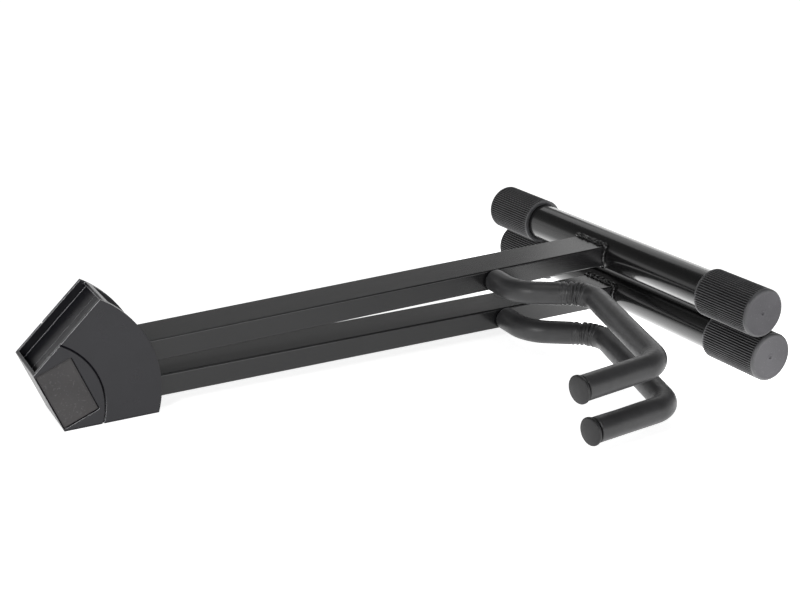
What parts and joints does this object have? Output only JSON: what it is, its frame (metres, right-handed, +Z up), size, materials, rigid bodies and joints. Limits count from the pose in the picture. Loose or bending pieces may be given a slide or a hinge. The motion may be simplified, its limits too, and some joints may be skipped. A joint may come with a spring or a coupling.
{
  "type": "folding instrument stand",
  "caption": "Folding A-frame instrument stand, folded flat: two tube legs hinged in a fan-shaped head, cross-tube feet with ribbed rubber caps and foam-sleeved cradle arms.",
  "frame": {"origin": "centre of the bounding box's base: the floor under the stand, folded and lying on its side", "axes": "+X from the head towards the feet, +Y towards the stand's back, +Z up as it lies; the cradle arms point to -Y"},
  "size_m": [0.438, 0.3162, 0.0766],
  "materials": {
    "leg_steel": "satin black powder coat",
    "foot_steel": "gloss black enamel",
    "weld_steel": "painted weld bead",
    "foot_rubber": "ribbed matte rubber",
    "rod_steel": "black",
    "foam": "closed-cell foam sleeve",
    "button_plastic": "moulded plastic",
    "head_plastic": "satin moulded plastic",
    "pad_rubber": "matte rubber",
    "fastener_steel": "zinc plated",
    "nylon": "natural nylon"
  },
  "bodies": {
    "base": {"head_front_shell": "head_plastic", "head_rear_shell": "head_plastic", "head_top_cap": "head_plastic", "head_pad": "pad_rubber", "upper_pivot_screw": "fastener_steel", "upper_pivot_barrel": "fastener_steel", "upper_pivot_washers": "nylon", "lower_pivot_screw": "fastener_steel", "lower_pivot_barrel": "fastener_steel", "lower_pivot_washers": "nylon", "lower_leg_tube": "leg_steel", "lower_leg_bushing": "nylon", "lower_foot_tube": "foot_steel", "lower_foot_weld": "weld_steel", "lower_foot_cap_front": "foot_rubber", "lower_foot_cap_rear": "foot_rubber", "lower_arm_rod": "rod_steel", "lower_arm_weld": "weld_steel", "lower_arm_sleeve": "foam", "lower_arm_end_cap": "button_plastic"},
    "folding_leg": {"upper_leg_tube": "leg_steel", "upper_leg_bushing": "nylon", "upper_foot_tube": "foot_steel", "upper_foot_weld": "weld_steel", "upper_foot_cap_front": "foot_rubber", "upper_foot_cap_rear": "foot_rubber", "upper_arm_rod": "rod_steel", "upper_arm_weld": "weld_steel", "upper_arm_sleeve": "foam", "upper_arm_end_cap": "button_plastic"}
  },
  "joints": [
    {"name": "leg_fold", "type": "hinge", "parent": "base", "child": "folding_leg", "pos_m": [-0.2002, 0.03987, 0.03592], "axis": [0, -1, 0], "range_deg": [0, 41.7]}
  ]
}
